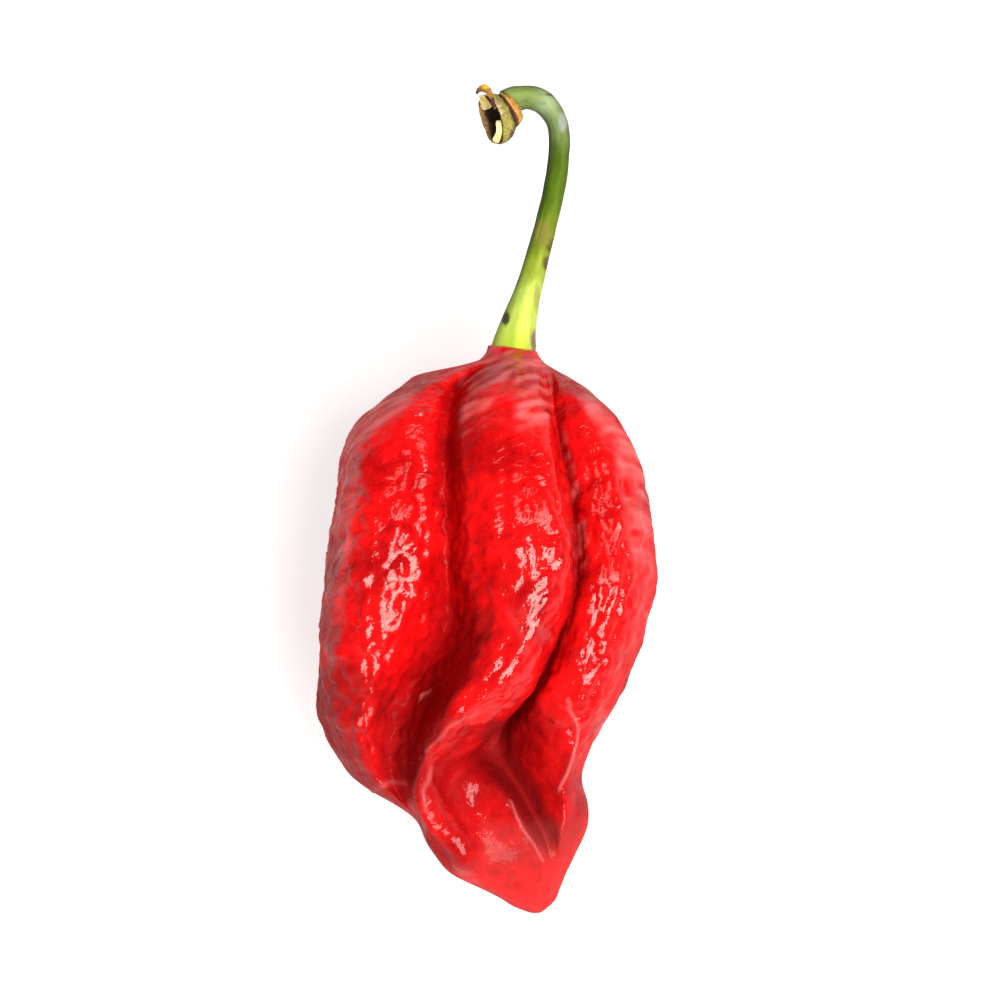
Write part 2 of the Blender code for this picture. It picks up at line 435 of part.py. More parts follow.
def splinter(start, end, start_size, end_size):
    """A tapering four-sided splinter between two points."""
    along = Vector(end) - Vector(start)
    across, up = ring_axes(along)
    shape = bmesh.new()
    ends = []
    for point, (wide, thick) in ((start, start_size), (end, end_size)):
        corners = []
        for a, b in ((-1, -1), (1, -1), (1, 1), (-1, 1)):
            corner = np.array(point) + a * wide * across + b * thick * up
            corners.append(shape.verts.new(Vector(corner * MM)))
        ends.append(corners)
    for k in range(4):
        shape.faces.new((ends[0][k], ends[0][(k + 1) % 4], ends[1][(k + 1) % 4], ends[1][k]))
    shape.faces.new(ends[0])
    shape.faces.new(ends[1])
    bmesh.ops.recalc_face_normals(shape, faces=shape.faces)
    return new_object("splinter", shape)


def make_dry_end():
    dry_end = new_object("dry_end", shell_from_grid(cup_grid()))
    for sizes in SPLINTERS:
        piece = splinter(*sizes)
        piece.hide_render = True
        piece.display_type = "WIRE"
        union = dry_end.modifiers.new("splinter", "BOOLEAN")
        union.operation = "UNION"
        union.solver = "EXACT"
        union.object = piece
    give_material(dry_end, (0.22, 0.13, 0.045), 0.8)
    return dry_end


def main():
    for obj in list(bpy.data.objects):
        bpy.data.objects.remove(obj)
    make_pod()
    make_stem()
    make_dry_end()


main()
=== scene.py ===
import math

import bmesh
import bpy
from mathutils import Matrix, Vector, noise
from mathutils.bvhtree import BVHTree


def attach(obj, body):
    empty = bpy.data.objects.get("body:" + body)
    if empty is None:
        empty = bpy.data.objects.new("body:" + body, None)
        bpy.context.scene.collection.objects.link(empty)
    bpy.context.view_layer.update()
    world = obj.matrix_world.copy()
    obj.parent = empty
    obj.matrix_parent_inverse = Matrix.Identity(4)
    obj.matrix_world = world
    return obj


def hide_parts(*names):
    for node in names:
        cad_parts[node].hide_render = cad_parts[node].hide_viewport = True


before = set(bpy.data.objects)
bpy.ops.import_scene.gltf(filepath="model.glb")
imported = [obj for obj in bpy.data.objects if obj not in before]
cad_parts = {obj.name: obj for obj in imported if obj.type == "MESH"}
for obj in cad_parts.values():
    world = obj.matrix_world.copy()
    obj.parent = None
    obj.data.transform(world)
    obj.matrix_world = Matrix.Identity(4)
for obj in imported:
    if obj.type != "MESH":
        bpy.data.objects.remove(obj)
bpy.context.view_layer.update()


# The pod: one hollow fruit, swollen into lobes that fold into each other and twist towards its pointed tip. Its skin
# is a thin waxy cuticle over wet red flesh, so it is glossy all over, and it has shrunk into fine crepe and pebbles.
MM = 0.001
POD_LEVELS = 2
NECK_TOP = 28.9
NECK_CENTRE = (2.5, 17.5)
NECK_DISH_DEPTH = 1.3
NECK_LIP_RISE = 0.15
NECK_LIP_SLANT = 0.14
POD_AXIS = (0.5, 14.5)
POD_RADIUS = 15.0
LUMP_SIZE = 2.9
LUMP_HEIGHT = 0.34
PEBBLE_SIZE = 1.9
PEBBLE_HEIGHT = 0.19
PEBBLE_CREASE = 0.3
GRAIN_SIZE = 0.95
GRAIN_HEIGHT = 0.09
CREPE_LENGTH = 2.6
CREPE_WIDTH = 0.62
CREPE_LEAN = 0.42
CREPE_HEIGHT = 0.09
SMOOTH_END = 3.5
TIP_BARE = -34.0
MATT_UPPER = 0.8
STEEP_GLOSS = 0.06
STEEP_PATCH = 0.42
TIP_MATT = 0.7
TIP_PAINTED_SHEEN = 0.06
NECK_PAINTED_SHEEN = 0.4
SHOULDER_PAINTED_SHEEN = 0.4
TIP_SWELL = (-3.0, -27.6)
TIP_SWELL_RADIUS = 1.5
TIP_SWELL_HEIGHT = 0.8
LEFT_CREPE = 1.6
OPENNESS_RAYS = 48
OPENNESS_REACH = 12.0
OPENNESS_BLUR = 2
GOLDEN_TURN = math.pi * (3 - math.sqrt(5))
DEEP_RED = (0.45, 0.0020, 0.0032, 1.0)
RIPE_RED = (0.80, 0.0045, 0.0055, 1.0)
PAINTED_SHADE_RED = (0.24, 0.0060, 0.0075, 1.0)
SHEEN_AND_SCRATCH_PINK = (1.0, 0.27, 0.27, 1.0)
CREPE_ACROSS = Vector((-0.5, 1.0, -0.37)).normalized()
CREPE_ALONG = Vector((1.0, 0.5, 0.0)).normalized()


def select_only(piece):
    """Make one piece the only selected and the active one."""
    bpy.ops.object.select_all(action="DESELECT")
    piece.select_set(True)
    bpy.context.view_layer.objects.active = piece


def copy_of_node(node, name):
    """A copy of a CAD node as a clean mesh: its corners merged and its triangles paired."""
    piece = bpy.data.objects.new(name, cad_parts[node].data.copy())
    bpy.context.scene.collection.objects.link(piece)
    piece.data.materials.clear()
    select_only(piece)
    bpy.ops.object.mode_set(mode="EDIT")
    bpy.ops.mesh.select_all(action="SELECT")
    bpy.ops.mesh.remove_doubles(threshold=0.000001)
    bpy.ops.mesh.tris_convert_to_quads(face_threshold=math.radians(60), shape_threshold=math.radians(60))
    bpy.ops.object.mode_set(mode="OBJECT")
    return piece


def select_faces(piece, wanted):
    """In edit mode with only the wanted faces selected: wanted is a test of a face's centre, in mm, and normal."""
    select_only(piece)
    bpy.ops.object.mode_set(mode="EDIT")
    bpy.ops.mesh.select_mode(type="FACE")
    bpy.ops.mesh.select_all(action="DESELECT")
    bpy.ops.object.mode_set(mode="OBJECT")
    for face in piece.data.polygons:
        face.select = wanted(face.center / MM, face.normal)
    bpy.ops.object.mode_set(mode="EDIT")


def subdivide_smooth(piece, levels):
    """Round a mesh off with an applied subdivision surface."""
    select_only(piece)
    rounding = piece.modifiers.new("rounding", "SUBSURF")
    rounding.levels = levels
    rounding.render_levels = levels
    bpy.ops.object.modifier_apply(modifier=rounding.name)
    bpy.ops.object.shade_smooth()


pod = copy_of_node("pod", "pod_skin")
select_faces(pod, lambda centre, normal: centre.y > NECK_TOP - 0.05 and normal.y > 0.9)
bpy.ops.mesh.inset(thickness=0.00006)
bpy.ops.mesh.inset(thickness=0.00006)
bpy.ops.transform.translate(value=(0, -NECK_DISH_DEPTH * MM, 0))
bpy.ops.object.mode_set(mode="OBJECT")
for vert in pod.data.vertices:
    if vert.co.y > (NECK_TOP - 0.05) * MM:
        vert.co.y += (NECK_LIP_RISE - NECK_LIP_SLANT * (vert.co.x / MM - NECK_CENTRE[0])) * MM


def smooth_step(start, end, value):
    """0 before start, 1 past end, and a smooth rise between them."""
    share = min(max((value - start) / (end - start), 0.0), 1.0)
    return share * share * (3 - 2 * share)


def beside_path(x, y, path):
    """How far a point is from a path, that distance with the side's sign, and how far along it is.

    The sign is + to the right of someone who walks along the path: left in the picture, for a path that runs down it.
    """
    best = (math.inf, 0.0, 0.0)
    travelled = 0.0
    for (ax, ay), (bx, by) in zip(path[:-1], path[1:]):
        length = math.hypot(bx - ax, by - ay)
        ux, uy = (bx - ax) / length, (by - ay) / length
        share = min(max((x - ax) * ux + (y - ay) * uy, 0.0), length)
        away = math.hypot(x - ax - ux * share, y - ay - uy * share)
        if away < best[0]:
            turn = (x - ax) * uy - (y - ay) * ux
            best = (away, math.copysign(away, turn), travelled + share)
        travelled += length
    return best


def box_round(path, margin):
    """The lowest and highest x and y of a path, with a margin."""
    across, up = zip(*path)
    return min(across) - margin, max(across) + margin, min(up) - margin, max(up) + margin


def between(value, stops):
    """The height of a broken line through (place, height) stops."""
    if value <= stops[0][0]:
        return stops[0][1]
    for (start, low), (end, high) in zip(stops[:-1], stops[1:]):
        if value <= end:
            return low + (high - low) * (value - start) / (end - start)
    return stops[-1][1]


# The middle lobe's lip hangs over this edge. It is pulled to the left here, with the near side of the right lobe, and
# the lip's top is pulled further and swells a little.
LIP_EDGE = (
    (7.4, 20.0), (8.6, 14.4), (9.0, 12.0), (9.3, 8.0), (9.6, 4.0), (9.5, 0.6), (8.9, -3.1), (7.9, -5.5),
    (6.45, -8.2), (4.7, -10.2), (2.0, -12.7), (0.0, -14.2),
)
LIP_PULL = (
    (-14.4, 0.0), (-12.7, 0.65), (-10.2, 0.9), (-8.2, 1.1), (-5.1, 1.5), (-3.1, 1.3), (0.7, 0.5), (4.0, 0.0),
)
LIP_TOP_PULL = 1.1
LIP_SWELL = 1.6

for vert in pod.data.vertices:
    x, y, z = vert.co / MM
    if y > 4 or z < 8:
        continue
    side = beside_path(x, y, LIP_EDGE)[1]
    reach = smooth_step(4, -1, y) * smooth_step(-14, -10, y)
    if vert.normal.z > 0:
        swell = smooth_step(-0.1, 0.7, side) * smooth_step(5.0, 1.2, side)
        vert.co.z += LIP_SWELL * swell * reach * MM
    pull = between(y, LIP_PULL) * smooth_step(-4.5, 0, side) * smooth_step(7.5, 1, side)
    pull += LIP_TOP_PULL * reach * smooth_step(0, 2.2, side) * smooth_step(7.5, 2.2, side)
    vert.co.x -= pull * smooth_step(8, 14, z) * MM

shape = bmesh.new()
shape.from_mesh(pod.data)
shape.normal_update()
tree = BVHTree.FromBMesh(shape)
openness = []
for vert in shape.verts:
    tilt = vert.normal.to_track_quat("Z", "Y")
    start = vert.co + vert.normal * 0.05 * MM
    clear = 0
    for ray in range(OPENNESS_RAYS):
        lift = math.sqrt((ray + 0.5) / OPENNESS_RAYS)
        turn = GOLDEN_TURN * ray
        spread = math.sqrt(1 - lift * lift)
        direction = tilt @ Vector((spread * math.cos(turn), spread * math.sin(turn), lift))
        clear += tree.ray_cast(start, direction, OPENNESS_REACH * MM)[0] is None
    openness.append(clear / OPENNESS_RAYS)
neighbours = [[edge.other_vert(vert).index for edge in vert.link_edges] for vert in shape.verts]
shape.free()
for _ in range(OPENNESS_BLUR):
    openness = [(value + sum(openness[i] for i in near)) / (1 + len(near)) for value, near in zip(openness, neighbours)]
kept = pod.data.attributes.new("openness", "FLOAT", "POINT")
kept.data.foreach_set("value", openness)
subdivide_smooth(pod, POD_LEVELS)


# Lines in the skin as seen from above: a path, its half width, its height, or depth where less than 0, and how
# much painted highlight lies along it, which on the short scratch near (-7.3, -9.5) is the scratch's own pale colour.
SKIN_LINES = (
    (((14.1, 9.4), (14.07, 8.0), (13.87, 5.56), (14.28, 3.44), (14.0, 1.67), (12.56, -1.0), (11.11, -2.89),
      (10.89, -4.22), (10.61, -5.89), (9.67, -9.11), (8.9, -10.8)), 0.24, 0.14, 0.0),
    (((8.6, -9.8), (8.9, -11.0), (9.5, -12.2), (9.78, -13.22), (9.67, -14.78), (8.44, -18.1), (7.67, -20.0)),
     0.16, 0.18, 0.4),
    (((-1.6, -11.2), (-3.0, -11.7), (-4.5, -12.6), (-6.1, -14.3), (-7.1, -15.4)), 0.2, 0.1, 0.2),
    (((2.33, -21.1), (3.44, -23.9), (4.67, -25.7), (5.94, -28.0)), 0.16, 0.12, 0.3),
    (((-7.9, -10.1), (-7.3, -9.3), (-6.6, -8.9)), 0.12, 0.08, 0.9),
    (((-6.78, -18.3), (-6.33, -19.3), (-5.56, -20.8), (-4.0, -23.1), (-2.78, -25.1)), 0.5, 0.25, 0.0),
    (((2.2, 0.2), (3.4, -2.2), (3.9, -4.2)), 0.35, 0.14, 0.08),
    (((3.4, 0.3), (5.0, -1.2), (6.6, -2.9)), 0.35, 0.12, 0.08),
    (((8.0, 21.9), (9.6, 20.6), (11.4, 20.2)), 0.24, 0.08, 0.0),
    (((7.2, 17.6), (8.7, 17.2), (10.0, 17.7)), 0.24, 0.06, 0.0),
    (((-6.5, -17.3), (-7.4, -19.8), (-7.1, -22.0)), 0.25, 0.12, 0.2),
    (((-13.2, -20.2), (-11.4, -19.2), (-9.4, -19.0)), 0.25, 0.16, 0.2),
    (((-14.6, -17.9), (-12.6, -18.3), (-10.4, -17.4)), 0.25, -0.14, 0.0),
)
line_boxes = [box_round(path, 3 * width + 0.2) for path, width, rise, light in SKIN_LINES]
painted_sheen_and_scratch = []
moves = []
glossiness = []
crepiness = []
for vert in pod.data.vertices:
    x, y, z = vert.co / MM
    around = POD_RADIUS * math.atan2(x - POD_AXIS[0], z - POD_AXIS[1])
    across = y - CREPE_LEAN * around
    fade = min(max(z / SMOOTH_END, 0.0), 1.0) * min(max((NECK_TOP - 0.6 - y) / SMOOTH_END, 0.0), 1.0)
    fade *= smooth_step(TIP_BARE, TIP_BARE + SMOOTH_END, y)
    pebbled = smooth_step(-19, -13, y) * smooth_step(21, 13, y) * (1 + 0.45 * smooth_step(-5, -8, x))
    creped = smooth_step(6, 14, y)
    calm = 1 - 0.6 * smooth_step(0.6, 0.1, vert.normal.z)
    place = Vector((x, y, z))
    warp = noise.noise_vector(place / 2.5)
    lump = noise.noise(place / LUMP_SIZE)
    near, next_near = noise.voronoi((place + 0.5 * warp) / PEBBLE_SIZE)[0][:2]
    pebble = smooth_step(0, PEBBLE_CREASE, next_near - near) - 1.5 * near
    grain = noise.noise(place / GRAIN_SIZE)
    crepe = noise.noise(Vector((around / CREPE_LENGTH, (across + 0.8 * warp.x) / CREPE_WIDTH, 0)))
    height = LUMP_HEIGHT * lump * (0.35 + 0.65 * pebbled)
    height += PEBBLE_HEIGHT * pebble * pebbled
    height += GRAIN_HEIGHT * grain * (0.1 + 0.9 * pebbled)
    crepe_height = CREPE_HEIGHT * (1 - 2 * abs(crepe)) * smooth_step(4, 9, math.hypot(x - POD_AXIS[0], z - POD_AXIS[1]))
    height += crepe_height * (0.15 + 0.85 * creped)
    height *= calm
    height += LEFT_CREPE * crepe_height * smooth_step(-12.5, -15.5, x) * smooth_step(-10, 2, y)
    pale = 0.0
    if vert.normal.z > 0.1:
        for (path, width, rise, light), (left, right, low, high) in zip(SKIN_LINES, line_boxes):
            if left < x < right and low < y < high:
                away = beside_path(x + 0.12 * warp.x, y + 0.12 * warp.y, path)[0] / width
                height += rise * math.exp(-away * away)
                # Painted highlight along the line, or on the scratch its own pale colour.
                pale = max(pale, light * math.exp(-away * away))
    left_band = smooth_step(-12.0, -15.0, x) * smooth_step(-10, 2, y)
    crepiness.append(max(left_band, 1.6 * smooth_step(18.0, 22.0, y), 0.6 * smooth_step(2.0, 9.0, y), 0.2))
    low_right = smooth_step(9.5, 11.0, x)
    matt = MATT_UPPER * smooth_step(6.5 - 4.5 * low_right, 12.0 - 7.0 * low_right, y) * smooth_step(0.8, 0.93, vert.normal.z)
    tip_plane = smooth_step(-1.8, -0.4, x) * smooth_step(-22.5, -24.5, y)
    matt = max(matt, TIP_MATT * tip_plane)
    patch = smooth_step(0.05, 0.3, noise.noise(Vector((place @ CREPE_ALONG / 2.2, place @ CREPE_ACROSS / 0.9, 3))))
    steep = smooth_step(0.6, 0.1, vert.normal.z)
    patch *= STEEP_PATCH * (1 - 0.85 * smooth_step(-12, -14, x) * smooth_step(3, -5, y))
    if x > -7:
        matt = max(matt, 0.85 * smooth_step(-0.2, -0.5, vert.normal.x))
    glossiness.append((1 - matt) * (1 - steep * (1 - STEEP_GLOSS - patch)))
    swollen = Vector((x - TIP_SWELL[0], y - TIP_SWELL[1], 0)).length / TIP_SWELL_RADIUS
    height += TIP_SWELL_HEIGHT * math.exp(-swollen * swollen)
    # Painted reflections: pale pink streaks on the neck's facets and on the shoulders that lean away from the camera,
    # and a faint pale wash over the tip's plane.
    neck_right = smooth_step(2.2, 3.4, x) * smooth_step(7.2, 6.0, x) * smooth_step(19.0, 21.5, y)
    speckle = smooth_step(-0.3, 0.5, noise.noise(Vector((place @ CREPE_ALONG / 3.0, place @ CREPE_ACROSS / 0.85, 7))))
    neck_left = smooth_step(-3.8, -2.6, x) * smooth_step(0.2, -1.0, x - 0.66 * (y - 22)) * smooth_step(17.5, 20.5, y)
    shoulder = smooth_step(0.82, 0.55, vert.normal.z) * smooth_step(-0.1, 0.25, vert.normal.z)
    shoulder *= smooth_step(7, 10, abs(x)) * (smooth_step(-2, 6, y) if x < 0 else smooth_step(2, 10, y))
    pale = max(pale, NECK_PAINTED_SHEEN * max(neck_left, neck_right) * speckle, SHOULDER_PAINTED_SHEEN * shoulder * speckle)
    painted_sheen_and_scratch.append(max(pale, TIP_PAINTED_SHEEN * tip_plane))
    moves.append(vert.normal * fade * height * MM)
for vert, move in zip(pod.data.vertices, moves):
    vert.co += move
# The painted highlights and reflections, with the scratch's own pale colour, kept on the mesh.
pod.data.attributes.new("painted_sheen_and_scratch", "FLOAT", "POINT").data.foreach_set("value", painted_sheen_and_scratch)
pod.data.attributes.new("crepiness", "FLOAT", "POINT").data.foreach_set("value", crepiness)

DULL_FOLDS = 0.8
# Shade painted into the colour of the folds, the dark flank beside the ridge and the hollows near the tip: the path
# of each, its reach to the left and to the right, its soft edge, its depth, and how high up the pod it may go.
PAINTED_FOLD_SHADE = (
    (((1.0, 0.4), (0.4, -1.1), (-1.0, -4.5), (-3.0, -7.8), (-4.9, -10.8), (-6.2, -13.3), (-7.2, -16.0)),
     3.2, 0.0, 0.35, 0.5, -0.2),
    (((0.4, -1.1), (-1.0, -4.5), (-3.0, -7.8), (-4.9, -10.8), (-6.4, -13.3)), 4.2, 0.0, 1.6, 0.15, 0.5),
    (((-3.8, 24.5), (-4.6, 20.0), (-4.9, 12.0), (-4.6, 5.6), (-5.0, -1.0)), 0.6, 0.5, 1.3, 0.2, 30.0),
    (((-5.0, -1.0), (-6.6, -5.7), (-9.8, -10.8), (-10.9, -15.0), (-10.4, -20.0)), 0.6, 0.5, 1.6, 0.2, 30.0),
    (((0.6, -13.4), (1.1, -16.8), (2.6, -19.3), (4.4, -22.4), (5.9, -24.8)), 0.9, 1.1, 1.4, 1.0, 30.0),
    (((7.4, 20.0), (8.6, 14.4), (9.0, 12.0), (9.3, 8.0), (9.4, 4.0), (8.9, 0.7), (7.6, -3.1), (6.4, -5.1),
      (5.3, -8.2), (3.8, -10.2), (1.4, -12.7), (-0.2, -14.4)), 0.0, 0.15, 0.5, 0.4, 30.0),
    (((-15.0, -10.0), (-13.0, -14.0), (-11.5, -18.0)), 3.0, 3.0, 3.0, 0.5, 30.0),
    (((5.0, -13.0), (6.0, -17.0), (7.4, -21.0), (8.0, -25.0)), 2.5, 2.5, 2.5, 0.4, 30.0),
    (((-5.0, -17.5), (-3.0, -21.0), (0.0, -24.5)), 3.5, 4.5, 2.5, 0.5, 30.0),
)
fold_boxes = [box_round(fold[0], max(fold[1:3]) + fold[3] + 0.3) for fold in PAINTED_FOLD_SHADE]
shadiness = []
for vert in pod.data.vertices:
    x, y, z = vert.co / MM
    wander = 0.3 * noise.noise(Vector((x, y, 0)) / 1.1)
    light = 1.0
    for (path, left, right, edge, depth, top), (west, east, south, north) in zip(PAINTED_FOLD_SHADE, fold_boxes):
        if west < x < east and south < y < north and vert.normal.z > -0.1:
            side = beside_path(x, y, path)[1] + wander
            reach = left if side > 0 else right
            depth *= smooth_step(top + 0.7, top, y + wander)
            light *= 1 - depth * smooth_step(reach + edge, reach, abs(side))
    shadiness.append(1 - light)
    glossiness[vert.index] *= 1 - DULL_FOLDS * (1 - light)
pod.data.attributes.new("glossiness", "FLOAT", "POINT").data.foreach_set("value", glossiness)
pod.data.attributes.new("shadiness", "FLOAT", "POINT").data.foreach_set("value", shadiness)


def new_material(name):
    """A material with its node tree, its shader and its object coordinates."""
    material = bpy.data.materials.new(name)
    material.use_nodes = True
    tree = material.node_tree
    place = tree.nodes.new("ShaderNodeTexCoord")
    return material, tree, tree.nodes["Principled BSDF"], place.outputs["Object"]


def add_noise(tree, place, size, detail=3.0, roughness=0.5, stretch=(1, 1, 1), turn=(0, 0, 0), distortion=0.0):
    """Noise with features of about this size in mm, turned by an Euler rotation and then stretched along its axes."""
    mapping = tree.nodes.new("ShaderNodeMapping")
    mapping.vector_type = "TEXTURE"
    mapping.inputs["Rotation"].default_value = turn
    mapping.inputs["Scale"].default_value = stretch
    tree.links.new(place, mapping.inputs["Vector"])
    texture = tree.nodes.new("ShaderNodeTexNoise")
    texture.inputs["Scale"].default_value = 1 / (size * MM)
    texture.inputs["Detail"].default_value = detail
    texture.inputs["Roughness"].default_value = roughness
    texture.inputs["Distortion"].default_value = distortion
    tree.links.new(mapping.outputs["Vector"], texture.inputs["Vector"])
    return texture.outputs["Fac"]


def add_ramp(tree, value, stops, smooth=True):
    """A colour ramp: stops are (place, colour)."""
    ramp = tree.nodes.new("ShaderNodeValToRGB")
    ramp.color_ramp.interpolation = "EASE" if smooth else "LINEAR"
    while len(ramp.color_ramp.elements) < len(stops):
        ramp.color_ramp.elements.new(0.5)
    for element, (at, colour) in zip(ramp.color_ramp.elements, stops):
        element.position = at
        element.color = colour
    tree.links.new(value, ramp.inputs["Fac"])
    return ramp.outputs["Color"]


def add_bump(tree, height, depth, below=None):
    """A bump of this depth in mm, over another bump."""
    bump = tree.nodes.new("ShaderNodeBump")
    bump.inputs["Strength"].default_value = 1.0
    bump.inputs["Distance"].default_value = depth * MM
    tree.links.new(height, bump.inputs["Height"])
    if below is not None:
        tree.links.new(below, bump.inputs["Normal"])
    return bump.outputs["Normal"]


def add_mix(tree, share, first, second, blend="MIX"):
    """Two colours mixed, or blended, by a share."""
    mix = tree.nodes.new("ShaderNodeMix")
    mix.data_type = "RGBA"
    mix.blend_type = blend
    for value, socket in ((share, mix.inputs[0]), (first, mix.inputs[6]), (second, mix.inputs[7])):
        if hasattr(value, "is_output"):
            tree.links.new(value, socket)
        else:
            socket.default_value = value
    return mix.outputs[2]


def add_attribute(tree, name):
    """A number kept on the mesh."""
    attribute = tree.nodes.new("ShaderNodeAttribute")
    attribute.attribute_name = name
    return attribute.outputs["Fac"]


pod_material, tree, shader, place = new_material("ripe_pod_skin")
blotches = add_noise(tree, place, 7.0, detail=4.0)
colour = add_ramp(tree, blotches, [(0.3, DEEP_RED), (0.62, RIPE_RED)])
mottle = add_noise(tree, place, 1.5, detail=4.0, roughness=0.65)
mottle = add_ramp(tree, mottle, [(0.32, (0.72, 0.7, 0.75, 1)), (0.5, (0.96, 0.95, 0.95, 1)), (0.68, (1.12, 1.5, 1.4, 1))])
colour = add_mix(tree, 1.0, colour, mottle, "MULTIPLY")
openness = add_attribute(tree, "openness")
shade = add_ramp(tree, openness, [(0.15, (0.42, 0.42, 0.52, 1)), (0.42, (0.75, 0.75, 0.8, 1)), (0.7, (1, 1, 1, 1))])
colour = add_mix(tree, 1.0, colour, shade, "MULTIPLY")
# Painted shade: the skin in the folds is mixed towards dark red.
colour = add_mix(tree, add_attribute(tree, "shadiness"), colour, PAINTED_SHADE_RED)
# Painted highlights and reflections, and the scratch's pale colour: the skin is mixed towards pale pink.
colour = add_mix(tree, add_attribute(tree, "painted_sheen_and_scratch"), colour, SHEEN_AND_SCRATCH_PINK)
tree.links.new(colour, shader.inputs["Base Color"])
pores = add_noise(tree, place, 0.7, detail=2.0, roughness=0.55)
relief = add_bump(tree, pores, 0.06)
dimples = add_noise(tree, place, 1.7, detail=3.0, roughness=0.55)
relief = add_bump(tree, dimples, 0.22, relief)
crepe_turn = Matrix((CREPE_ALONG, CREPE_ACROSS, CREPE_ALONG.cross(CREPE_ACROSS))).transposed().to_euler()
crepe = add_noise(tree, place, 1.1, detail=1.0, roughness=0.4, stretch=(2.6, 1, 2.6), turn=crepe_turn, distortion=0.3)
lines = add_ramp(tree, crepe, [(0.36, (0, 0, 0, 1)), (0.5, (1, 1, 1, 1)), (0.62, (0.1, 0.1, 0.1, 1))], smooth=False)
lines = add_mix(tree, 1.0, lines, add_attribute(tree, "crepiness"), "MULTIPLY")
relief = add_bump(tree, lines, 0.06, relief)
tree.links.new(relief, shader.inputs["Normal"])
tree.links.new(relief, shader.inputs["Coat Normal"])
gloss = add_ramp(tree, openness, [(0.45, (0.08, 0.08, 0.08, 1)), (0.8, (1, 1, 1, 1))])
gloss = add_mix(tree, 1.0, gloss, add_attribute(tree, "glossiness"), "MULTIPLY")
tree.links.new(gloss, shader.inputs["Coat Weight"])
shader.inputs["Roughness"].default_value = 0.42
shader.inputs["Specular IOR Level"].default_value = 0.02
shader.inputs["Coat Roughness"].default_value = 0.09
shader.inputs["Coat IOR"].default_value = 1.5
pod.data.materials.append(pod_material)
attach(pod, "root")
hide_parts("pod")


# The stem: the pod's own stalk, picked with it. It is firm green plant tissue with low ribs that wind round it,
# yellow where it flares into the pod's neck and bloomed with wax at the hook, and it runs down into the neck.
STALK_LINE = (
    (2.5, 28.0), (2.65, 30.0), (3.4, 32.8), (4.6, 36.8), (6.1, 42.4), (7.4, 48.2), (7.68, 52.4),
    (7.2, 54.5), (6.0, 56.1), (4.1, 56.8), (2.3, 56.4), (0.8, 55.6),
)
STALK_DEPTH = ((28.0, 17.4), (44.0, 18.5), (58.2, 19.0))
FOLD_LINE = ((4.4, 55.3), (5.1, 55.6), (6.2, 55.7), (7.0, 54.9), (7.9, 53.6), (8.4, 52.4), (8.6, 51.0))
FOLD_HEIGHT = 0.16
FOLD_WIDTH = 0.32
ROOT_PLUNGE = 0.9


stem = copy_of_node("stem", "green_stem")
select_faces(stem, lambda centre, normal: centre.y < 29.25 and normal.y < -0.8)
bpy.ops.mesh.inset(thickness=0.00008)
bpy.ops.mesh.extrude_region_move(TRANSFORM_OT_translate={"value": (0, -0.3 * MM, 0)})
bpy.ops.mesh.extrude_region_move(TRANSFORM_OT_translate={"value": (0, -(ROOT_PLUNGE - 0.3) * MM, 0)})
bpy.ops.object.mode_set(mode="OBJECT")
subdivide_smooth(stem, 2)
along_stalk = []
round_stalk = []
moves = []
for vert in stem.data.vertices:
    x, y, z = vert.co / MM
    _, side, along = beside_path(x, y, STALK_LINE)
    turn = math.atan2(side, z - between(y, STALK_DEPTH))
    fold = beside_path(x, y, FOLD_LINE)[0] / FOLD_WIDTH
    lift = FOLD_HEIGHT * math.exp(-fold * fold) * smooth_step(0.0, 0.5, vert.normal.z)
    fibre = noise.noise(Vector((5 * math.cos(turn), 5 * math.sin(turn), along / 6)))
    lump = noise.noise(Vector((x, y, z)) / 1.6)
    moves.append(vert.normal * (lift + 0.05 * fibre + 0.05 * lump) * smooth_step(28.9, 30.0, y) * MM)
    along_stalk.append(along)
    round_stalk.append(turn)
for vert, move in zip(stem.data.vertices, moves):
    vert.co += move
for name, values in (("along", along_stalk), ("turn", round_stalk)):
    stem.data.attributes.new(name, "FLOAT", "POINT").data.foreach_set("value", values)


def add_math(tree, operation, first, second):
    """A sum on two values."""
    sum_node = tree.nodes.new("ShaderNodeMath")
    sum_node.operation = operation
    for value, socket in ((first, sum_node.inputs[0]), (second, sum_node.inputs[1])):
        if hasattr(value, "is_output"):
            tree.links.new(value, socket)
        else:
            socket.default_value = value
    return sum_node.outputs[0]


def add_spot(tree, place, centre, size, edge=0.4, wobble=0.5, wobble_size=0.8):
    """A share that is 1 in a spot seen from above, with a ragged soft edge; centre and half size in mm."""
    mapping = tree.nodes.new("ShaderNodeMapping")
    mapping.inputs["Scale"].default_value = (1 / (size[0] * MM), 1 / (size[1] * MM), 0)
    mapping.inputs["Location"].default_value = (-centre[0] / size[0], -centre[1] / size[1], 0)
    tree.links.new(place, mapping.inputs["Vector"])
    length = tree.nodes.new("ShaderNodeVectorMath")
    length.operation = "LENGTH"
    tree.links.new(mapping.outputs["Vector"], length.inputs[0])
    ragged = add_math(tree, "MULTIPLY_ADD", add_noise(tree, place, wobble_size, detail=2.0), wobble)
    tree.links.new(length.outputs["Value"], ragged.node.inputs[2])
    middle = wobble / 2 + 1
    return add_ramp(tree, add_math(tree, "MULTIPLY", ragged, 0.5),
                    [((middle - edge) / 2, (1, 1, 1, 1)), ((middle + edge) / 2, (0, 0, 0, 1))])


